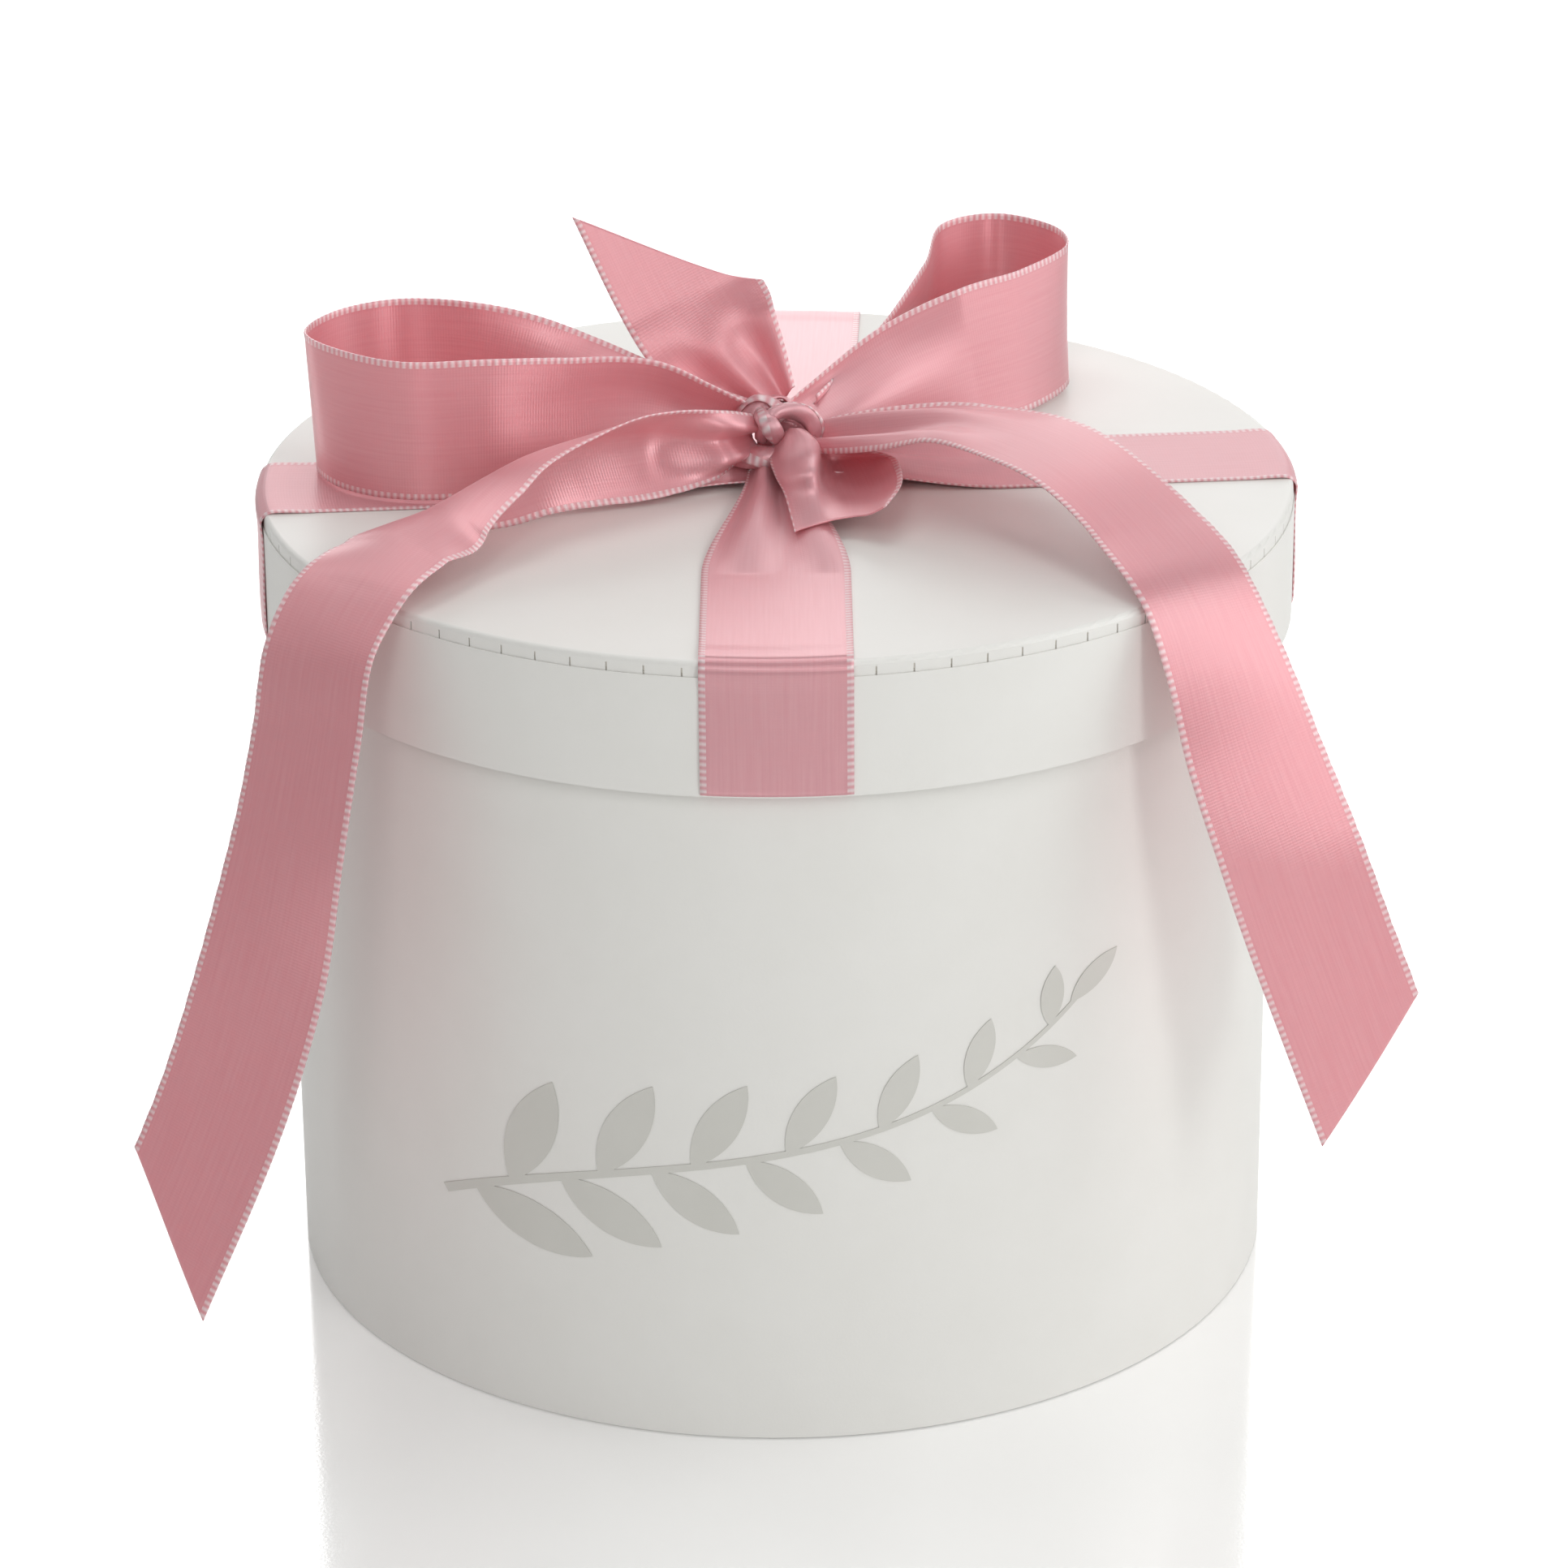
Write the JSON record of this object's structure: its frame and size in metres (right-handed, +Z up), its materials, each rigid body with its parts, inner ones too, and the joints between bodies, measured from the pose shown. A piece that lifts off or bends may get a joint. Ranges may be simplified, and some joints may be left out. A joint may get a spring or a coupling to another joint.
{
  "type": "flower box",
  "caption": "Round paper-covered flower box with a lift-off lid, crossed satin ribbon bands over the lid and a tied bow with long tails.",
  "frame": {"origin": "centre of the face the box stands on", "axes": "+Z up along the box's axis; -Y is the front, with the decal; +X is the right side seen from the front"},
  "size_m": [0.2175, 0.1867, 0.183],
  "materials": {
    "greyboard": "matte",
    "white_coated_paper": "smooth",
    "white_plain_paper": "matte",
    "grey_vinyl": "matte",
    "tissue_tape": "matte",
    "pink_satin_ribbon": "satin"
  },
  "bodies": {
    "box": {"body_tube": "greyboard", "body_base_board": "greyboard", "body_outer_wrap": "white_coated_paper", "body_wall_liner": "white_plain_paper", "base_liner_disc": "white_plain_paper", "base_cover_disc": "white_plain_paper", "front_decal": "grey_vinyl"},
    "lid": {"lid_top_board": "greyboard", "lid_rim_board": "greyboard", "lid_top_cover": "white_coated_paper", "lid_rim_wrap": "white_coated_paper", "lid_inner_liner": "white_plain_paper", "ribbon_tape_pads": "tissue_tape", "band_left": "pink_satin_ribbon", "band_right": "pink_satin_ribbon", "band_front": "pink_satin_ribbon", "band_back": "pink_satin_ribbon", "bow_knot": "pink_satin_ribbon", "bow_loop_left": "pink_satin_ribbon", "bow_loop_right": "pink_satin_ribbon", "tail_left": "pink_satin_ribbon", "tail_right": "pink_satin_ribbon", "tail_back": "pink_satin_ribbon", "tail_front": "pink_satin_ribbon"}
  },
  "joints": [
    {"name": "lid_lift", "type": "slide", "parent": "box", "child": "lid", "axis": [0, 0, 1], "range_m": [0, 0.17]}
  ]
}
